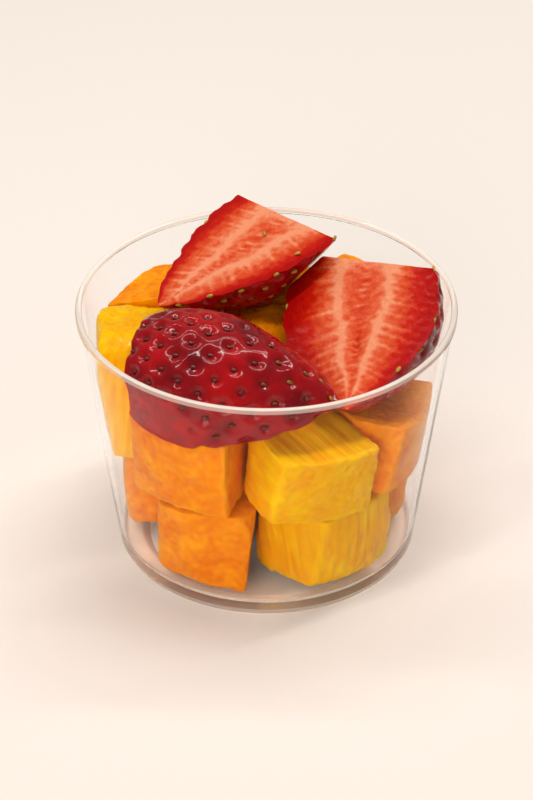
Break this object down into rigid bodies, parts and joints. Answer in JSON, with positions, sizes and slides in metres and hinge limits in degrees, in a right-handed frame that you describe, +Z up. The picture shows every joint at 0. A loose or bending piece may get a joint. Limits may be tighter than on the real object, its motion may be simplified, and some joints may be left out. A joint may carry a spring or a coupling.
{
  "type": "fruit cup",
  "caption": "Clear tapered plastic cup of cut fruit: hulled strawberry halves, cut side up or skin side up, lying on blocks of orange melon and yellow pineapple that show through the thin wall.",
  "frame": {"origin": "middle of the foot, on the surface the cup stands on", "axes": "+Z up through the rim, -Y towards the front that the picture shows, +X to the right"},
  "size_m": [0.08, 0.08, 0.0672],
  "materials": {
    "clear_plastic": "clear, polished, moulded",
    "strawberry": "moist strawberry, glossy crimson skin and orange-red cut flesh",
    "melon": "moist orange melon flesh, softly glossy",
    "pineapple": "moist yellow pineapple flesh, softly glossy"
  },
  "bodies": {
    "root": {"cup": "clear_plastic", "strawberry_half_back": "strawberry", "strawberry_half_right": "strawberry", "strawberry_half_front": "strawberry", "melon_block_1": "melon", "melon_block_2": "melon", "melon_block_3": "melon", "melon_block_4": "melon", "melon_block_5": "melon", "melon_block_6": "melon", "melon_block_7": "melon", "melon_block_8": "melon", "melon_block_9": "melon", "pineapple_block_1": "pineapple", "pineapple_block_2": "pineapple", "pineapple_block_3": "pineapple", "pineapple_block_4": "pineapple"}
  },
  "joints": []
}
